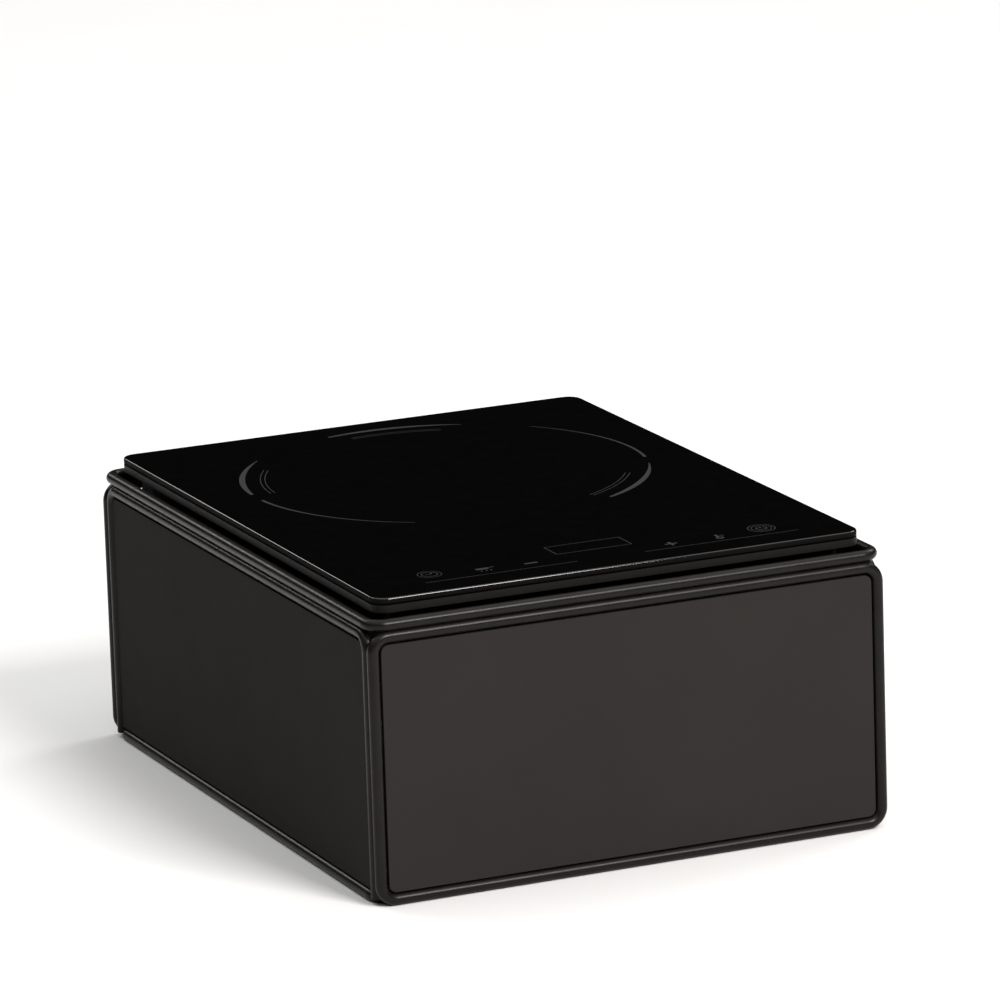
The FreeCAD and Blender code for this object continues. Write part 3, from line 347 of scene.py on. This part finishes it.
def make_glass(material, edge_material):
    """The glass plate: ground edge, polished bevel and a softly rounded arris."""
    profile = [(GLASS_LOW_BEVEL, GLASS_LOW.z), (0.0, GLASS_LOW.z + GLASS_LOW_BEVEL)]
    for step in range(GLASS_BEVEL_STEPS + 1):
        angle = math.pi / 2 * step / GLASS_BEVEL_STEPS
        inset = GLASS_BEVEL * (1 - math.cos(angle))
        profile.append((inset, GLASS_TOP - INK_RISE - GLASS_BEVEL + GLASS_BEVEL * math.sin(angle)))
    mesh = bpy.data.meshes.new("glass_plate")
    build = bmesh.new()
    rings = []
    for inset, height in profile:
        outline = rounded_outline(GLASS_HALF_X - inset, GLASS_HALF_Y - inset, GLASS_CORNER - inset)
        rings.append([build.verts.new((p.x, p.y, height)) for p in outline])
    count = len(rings[0])
    for low, high in zip(rings, rings[1:]):
        for i in range(count):
            j = (i + 1) % count
            build.faces.new((low[i], low[j], high[j], high[i]))
    build.faces.new(list(reversed(rings[0])))
    build.faces.new(rings[-1])
    build.normal_update()
    for face in build.faces:
        face.smooth = len(face.verts) == 4
        face.material_index = int(abs(face.normal.z) < EDGE_NORMAL_Z)
    build.to_mesh(mesh)
    build.free()
    piece = add_piece("glass_plate", mesh, material, "cooktop")
    mesh.materials.append(edge_material)
    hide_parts("glass_top")


# ------------------------------------------------------------------ printed marks
class Print:
    """Flat strokes laid on the glass and joined in one mesh."""

    def __init__(self):
        self.build = bmesh.new()

    def strip(self, points, widths, closed=False):
        """A stroke through points; widths is one width or one for each point."""
        count = len(points)
        if not isinstance(widths, (list, tuple)):
            widths = [widths] * count
        sides = []
        for i, point in enumerate(points):
            before = points[i - 1] if closed or i > 0 else point
            after = points[(i + 1) % count] if closed or i < count - 1 else point
            along = (after - before).normalized()
            across = Vector((-along.y, along.x)) * (widths[i] / 2)
            left = self.build.verts.new((*(point + across), GLASS_TOP))
            right = self.build.verts.new((*(point - across), GLASS_TOP))
            sides.append((left, right))
        for i in range(count if closed else count - 1):
            a, b = sides[i], sides[(i + 1) % count]
            self.build.faces.new((a[1], b[1], b[0], a[0]))

    def line(self, start, end, width):
        self.strip([Vector(start), Vector(end)], width)

    def arc(self, centre, radius, start, end, width, steps):
        """An arc in degrees; width is one width, or a function of the share of the arc passed."""
        points = []
        widths = []
        for step in range(steps + 1):
            part = step / steps
            angle = math.radians(start + (end - start) * part)
            points.append(Vector(centre) + radius * Vector((math.cos(angle), math.sin(angle))))
            widths.append(width(part) if callable(width) else width)
        self.strip(points, widths)

    def circle(self, centre, radius, width, steps=72):
        points = []
        for step in range(steps):
            angle = 2 * math.pi * step / steps
            points.append(Vector(centre) + radius * Vector((math.cos(angle), math.sin(angle))))
        self.strip(points, width, closed=True)

    def patch(self, points):
        """A filled shape through points in order."""
        self.build.faces.new([self.build.verts.new((p[0], p[1], GLASS_TOP)) for p in points])

    def finish(self, name, material):
        """One piece from all the strokes, facing up."""
        mesh = bpy.data.meshes.new(name)
        bmesh.ops.recalc_face_normals(self.build, faces=self.build.faces)
        for face in self.build.faces:
            if face.normal.z < 0:
                face.normal_flip()
        self.build.to_mesh(mesh)
        self.build.free()
        add_piece(name, mesh, material, "cooktop")


ZONE_OUTER_R = 115.3 * MM
ZONE_INNER_RS = (105.0 * MM, 102.4 * MM)
ZONE_THIN = 0.5 * MM                       # fine end of a stroke
ZONE_THICK = 3.4 * MM                      # middle of a crescent
ZONE_BLUNT = 1.8 * MM                      # wide end of a sweep
ZONE_INNER_W = 0.45 * MM
CRESCENT_TURN = 0.85                       # share of a half wave that a crescent's width follows
CRESCENTS = ((135.5, 176.0), (62.0, 102.5))  # first and last angles, in degrees
REVERSED_CRESCENT = (299.0, 339.5)
SWEEPS = ((183.5, 238.0), (347.0, 401.5))
INNER_ARCS = ((146.5, 177.0), (68.0, 98.0), (298.0, 328.0))
CRESCENT_STEPS = 48
SWEEP_STEPS = 60
INNER_STEPS = 36


def crescent_width(part):
    return ZONE_THIN + (ZONE_THICK - ZONE_THIN) * math.sin(math.pi * CRESCENT_TURN * part)


def reversed_crescent_width(part):
    return crescent_width(1 - part)


def sweep_width(part):
    return ZONE_THIN + (ZONE_BLUNT - ZONE_THIN) * (1 - part)


def zone_marks(material):
    """The cooking zone: crescents and tapering sweeps round fine inner arcs."""
    marks = Print()
    for begin, end in CRESCENTS:
        marks.arc(ZONE.xy, ZONE_OUTER_R, begin, end, crescent_width, CRESCENT_STEPS)
    marks.arc(ZONE.xy, ZONE_OUTER_R, *REVERSED_CRESCENT, reversed_crescent_width, CRESCENT_STEPS)
    for begin, end in SWEEPS:
        marks.arc(ZONE.xy, ZONE_OUTER_R, begin, end, sweep_width, SWEEP_STEPS)
    for radius in ZONE_INNER_RS:
        for begin, end in INNER_ARCS:
            marks.arc(ZONE.xy, radius, begin, end, ZONE_INNER_W, INNER_STEPS)
    marks.finish("zone_marks", material)


def timer_icon(marks, x, y):
    """A clock face with two hands."""
    marks.circle((x, y), 6.6 * MM, 0.4 * MM)
    marks.circle((x, y), 4.4 * MM, 0.5 * MM)
    marks.line((x, y), (x + 2.4 * MM, y + 2.2 * MM), 0.8 * MM)
    marks.line((x - 0.7 * MM, y + 0.2 * MM), (x - 1.9 * MM, y + 0.6 * MM), 0.8 * MM)


def mode_icon(marks, x, y):
    """A pan over three rising lines."""
    left, right = x - 4 * MM, x + 3 * MM
    low, high = y + 0.5 * MM, y + 3.5 * MM
    marks.patch([(left, low), (right, low), (right, high), (left, high)])
    marks.line((x + 3 * MM, y + 3.0 * MM), (x + 7 * MM, y + 3.4 * MM), 0.9 * MM)
    for offset in (-3.2, -0.5, 2.2):
        marks.arc((x + offset * MM, y - 2.2 * MM), 1.1 * MM, -60, 60, 0.6 * MM, 10)


def heat_icon(marks, x, y):
    """A thermometer with two ticks."""
    marks.circle((x, y - 2.6 * MM), 1.7 * MM, 1.1 * MM, 24)
    marks.line((x, y - 0.3 * MM), (x, y + 4.2 * MM), 1.6 * MM)
    for offset in (0.6, 2.4):
        marks.line((x + 1.8 * MM, y + offset * MM), (x + 3.8 * MM, y + offset * MM), 0.6 * MM)


def power_icon(marks, x, y):
    """A broken ring with a bar in its gap, inside two circles."""
    marks.circle((x, y), 7.6 * MM, 0.5 * MM)
    marks.circle((x, y), 5.6 * MM, 0.45 * MM)
    marks.arc((x, y), 2.9 * MM, 125, 415, 0.8 * MM, 28)
    marks.line((x, y + 0.6 * MM), (x, y + 3.9 * MM), 0.8 * MM)


TIMER_AT = (-97.6 * MM, -153.0 * MM)
MODE_AT = (-68.2 * MM, -159.0 * MM)
MINUS = ((-44.6 * MM, -159.2 * MM), (-36.8 * MM, -159.0 * MM))
MINUS_W = 1.9 * MM
PLUS_STROKES = (                           # a bar, and a stub in front of it and behind it
    ((38.4 * MM, -160.3 * MM), (45.6 * MM, -160.3 * MM)),
    ((42.0 * MM, -163.9 * MM), (42.0 * MM, -161.1 * MM)),
    ((42.0 * MM, -159.5 * MM), (42.0 * MM, -156.7 * MM)),
)
PLUS_W = 1.6 * MM
HEAT_AT = (70.6 * MM, -159.7 * MM)
POWER_AT = (99.1 * MM, -154.9 * MM)
DISPLAY_CORNERS = ((-21.0, -149.5), (23.5, -149.5), (23.5, -132.5), (-21.0, -132.5))
DISPLAY_LINE_W = 0.5 * MM
GUIDE_Y = -168.6 * MM
GUIDE_XS = ((-106.5 * MM, -17.6 * MM), (22.6 * MM, 114.8 * MM))
GUIDE_W = 0.45 * MM


def control_marks(material):
    """Icons, display outline and the two guide lines along the front of the glass."""
    marks = Print()
    timer_icon(marks, *TIMER_AT)
    mode_icon(marks, *MODE_AT)
    marks.line(*MINUS, MINUS_W)
    for start, end in PLUS_STROKES:
        marks.line(start, end, PLUS_W)
    heat_icon(marks, *HEAT_AT)
    power_icon(marks, *POWER_AT)
    for start, end in zip(DISPLAY_CORNERS, DISPLAY_CORNERS[1:] + DISPLAY_CORNERS[:1]):
        marks.line([v * MM for v in start], [v * MM for v in end], DISPLAY_LINE_W)
    for start_x, end_x in GUIDE_XS:
        marks.line((start_x, GUIDE_Y), (end_x, GUIDE_Y), GUIDE_W)
    marks.finish("control_marks", material)


# ------------------------------------------------------------------ floor, light
FLOOR_REACH = 9.0
SKY_FROM = 0.42                            # height on the dome where the white begins
SKY_FULL = 0.92                            # and where it is full
SKY_LOW = 0.004
SKY_HIGH = 1.6
LAMP_TARGET = (0.0, 0.0, 0.1)


def make_floor():
    """A plain pale floor, wide enough to fill the picture."""
    surface = Surface("floor_paper", (0.69, 0.69, 0.69), 0.85)
    surface.vary_colour(3.0, (0.71, 0.71, 0.71)).grain(400.0, 0.05 * MM, 0.2)
    mesh = bpy.data.meshes.new("floor")
    signs = ((-1, -1), (1, -1), (1, 1), (-1, 1))
    corners = [(sx * FLOOR_REACH, sy * FLOOR_REACH, 0) for sx, sy in signs]
    mesh.from_pydata(corners, [], [(0, 1, 2, 3)])
    floor = bpy.data.objects.new("floor", mesh)
    bpy.context.scene.collection.objects.link(floor)
    mesh.materials.append(surface.material)


def softbox(name, place, size, power, colour=(1, 1, 1)):
    """A square area lamp turned towards the middle of the object."""
    data = bpy.data.lights.new(name, "AREA")
    data.shape = "RECTANGLE"
    data.size = size
    data.size_y = size
    data.energy = power
    data.color = colour
    lamp = bpy.data.objects.new(name, data)
    bpy.context.scene.collection.objects.link(lamp)
    lamp.location = place
    lamp.rotation_euler = (Vector(LAMP_TARGET) - Vector(place)).to_track_quat("-Z", "Y").to_euler()


def make_sky():
    """A soft white dome overhead that darkens towards the horizon, like a tented studio."""
    world = bpy.data.worlds.new("studio")
    world.use_nodes = True
    tree = world.node_tree
    background = tree.nodes["Background"]
    direction = tree.nodes.new("ShaderNodeTexCoord")
    split = tree.nodes.new("ShaderNodeSeparateXYZ")
    height = tree.nodes.new("ShaderNodeMapRange")
    height.interpolation_type = "SMOOTHSTEP"
    height.inputs["From Min"].default_value = SKY_FROM
    height.inputs["From Max"].default_value = SKY_FULL
    height.inputs["To Min"].default_value = SKY_LOW
    height.inputs["To Max"].default_value = SKY_HIGH
    tree.links.new(direction.outputs["Generated"], split.inputs["Vector"])
    tree.links.new(split.outputs["Z"], height.inputs["Value"])
    tree.links.new(height.outputs["Result"], background.inputs["Strength"])
    background.inputs["Color"].default_value = (1.0, 0.995, 0.985, 1.0)
    bpy.context.scene.world = world
    bpy.context.scene.view_settings.view_transform = "Standard"


def make_light():
    """The sky and four softboxes."""
    make_sky()
    softbox("key", (1.0, -3.3, 2.75), 1.4, 226.0, (1.0, 0.965, 0.94))
    softbox("fill_right", (3.2, 1.2, 2.9), 1.3, 40.0)
    softbox("fill_rear", (-1.9, 2.8, 3.1), 1.3, 26.0)
    softbox("rear", (-0.7, 3.6, 1.9), 0.9, 13.0, (1.0, 0.96, 0.92))


# ------------------------------------------------------------------ build
make_camera()
MATERIALS = slot_materials()
dress_nodes(MATERIALS)
make_glass(MATERIALS["black_glass"], ground_edge("ground_glass_edge"))
INK = ink("printed_enamel")
zone_marks(INK)
control_marks(INK)
make_floor()
make_light()
